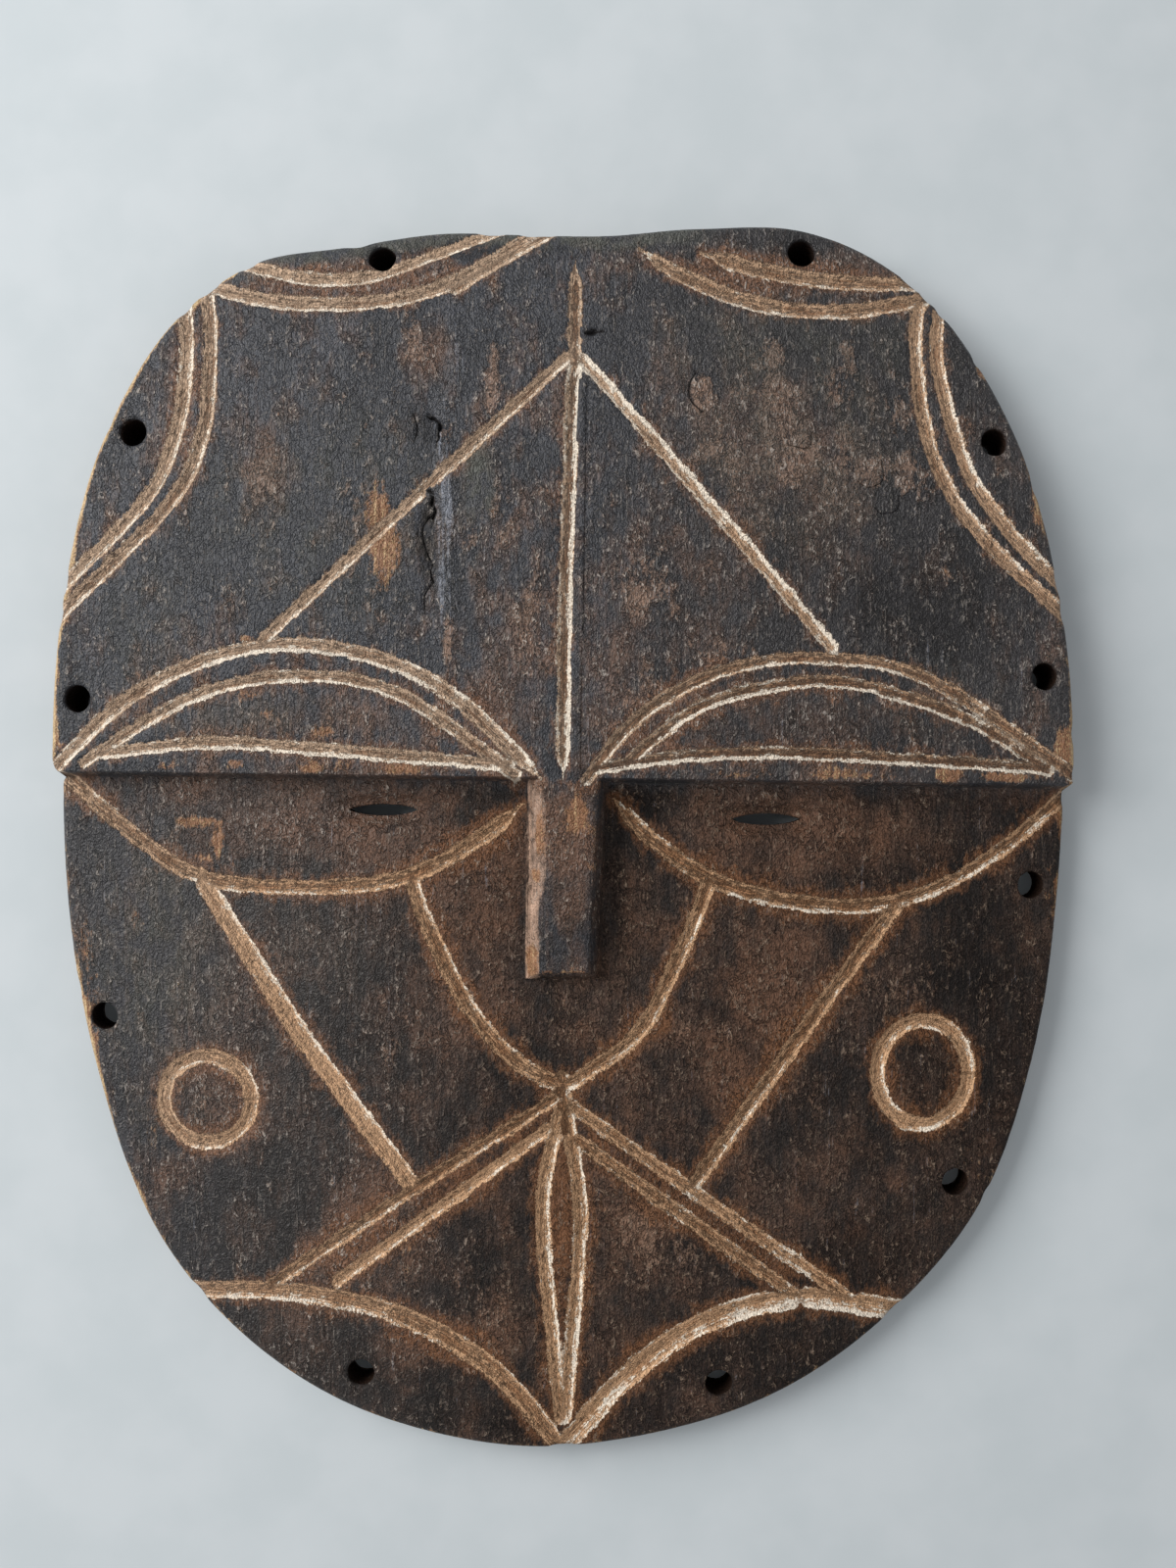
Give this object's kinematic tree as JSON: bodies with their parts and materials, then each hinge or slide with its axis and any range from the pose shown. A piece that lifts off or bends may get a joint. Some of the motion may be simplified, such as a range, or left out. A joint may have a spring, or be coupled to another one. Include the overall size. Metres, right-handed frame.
{
  "type": "teke mask",
  "caption": "Oval carved wooden face mask with a projecting forehead, bar nose, slit eyes, incised lines and a drilled rim.",
  "frame": {"origin": "middle of the footprint, on the plane that the back rim lies on", "axes": "+Z out of the face, +Y towards the top of the head, +X to the right of a viewer who faces the mask"},
  "size_m": [0.2998, 0.3608, 0.0259],
  "materials": {
    "wood": "dark stained, rubbed brown and chalked in the grooves, matt to satin"
  },
  "bodies": {
    "root": {"mask": "wood"}
  },
  "joints": []
}
